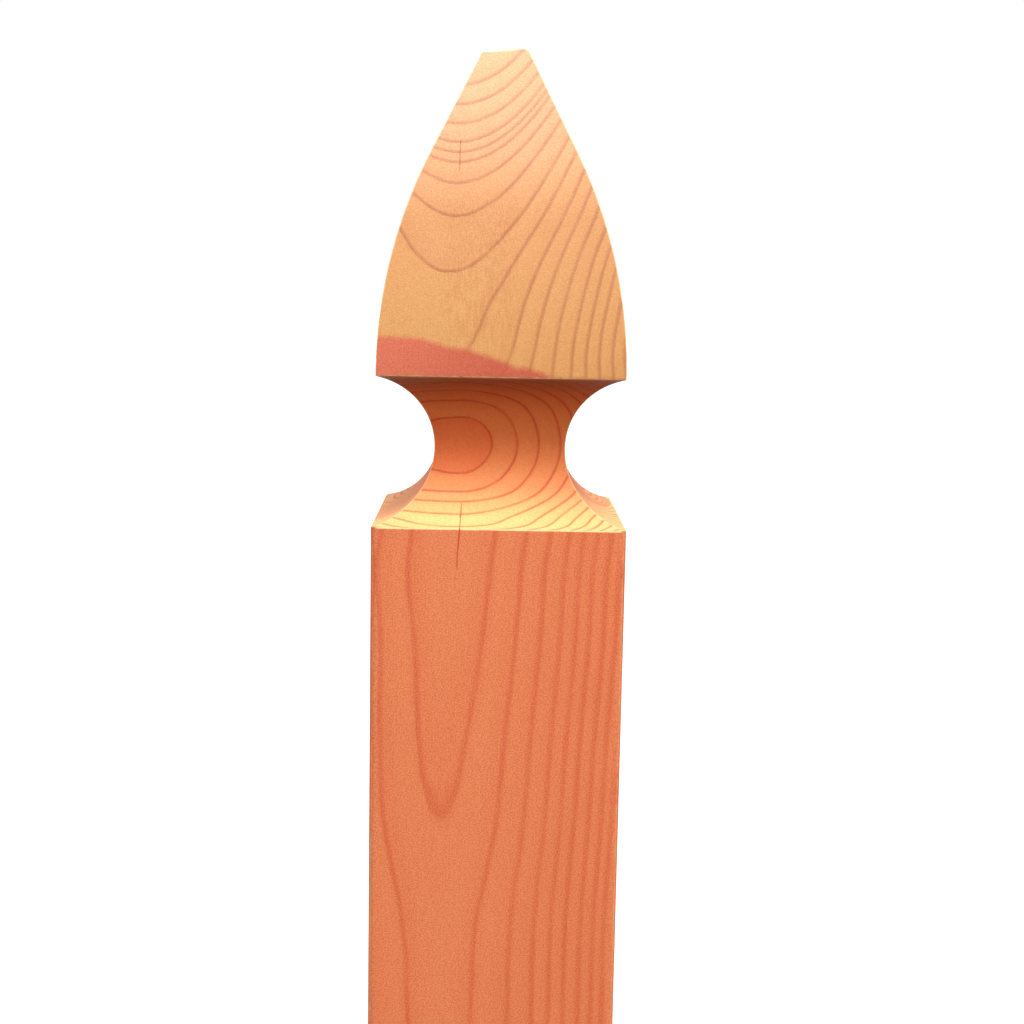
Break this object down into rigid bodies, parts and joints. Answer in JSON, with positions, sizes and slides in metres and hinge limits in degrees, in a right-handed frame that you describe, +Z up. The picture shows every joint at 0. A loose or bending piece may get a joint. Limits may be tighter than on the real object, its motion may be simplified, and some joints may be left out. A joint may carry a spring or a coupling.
{
  "type": "fence post cap",
  "caption": "Milled timber post top with a pointed head over a coved neck, screwed down flush on a square post by a hanger bolt.",
  "frame": {"origin": "centre of the sawn foot of the post", "axes": "+Z up along the post to the cap's tip, -Y the front face, +X to the right seen from the front"},
  "size_m": [0.089, 0.089, 0.4109],
  "materials": {
    "cap_timber": "freshly milled softwood, bare, golden with reddish latewood lines",
    "post_timber": "dressed softwood, bare, weathered orange-red faces",
    "insert_brass": "machined, dull",
    "seal_rubber": "matt black EPDM",
    "washer_nylon": "natural nylon, satin",
    "bolt_steel": "stainless, rolled threads",
    "nut_steel": "stainless, satin",
    "washer_steel": "stainless, stamped"
  },
  "bodies": {
    "post_assembly": {"post": "post_timber", "hanger_bolt": "bolt_steel", "jam_nut": "nut_steel", "fender_washer": "washer_steel"},
    "slip_washer": {"slip_washer": "washer_nylon"},
    "cap": {"gothic_cap": "cap_timber", "threaded_insert": "insert_brass", "seal_ring": "seal_rubber"}
  },
  "joints": [
    {"name": "cap_turn", "type": "hinge", "parent": "post_assembly", "child": "slip_washer", "pos_m": [0, 0, 0.2387], "axis": [0, 0, 1], "range_deg": [0, 6480]},
    {"name": "cap_rise", "type": "slide", "parent": "slip_washer", "child": "cap", "axis": [0, 0, 1], "range_m": [0, 0.0286]}
  ],
  "couplings": [
    {"joint": "cap_rise", "follows": "cap_turn", "m_per_rad": 0.00025266}
  ]
}
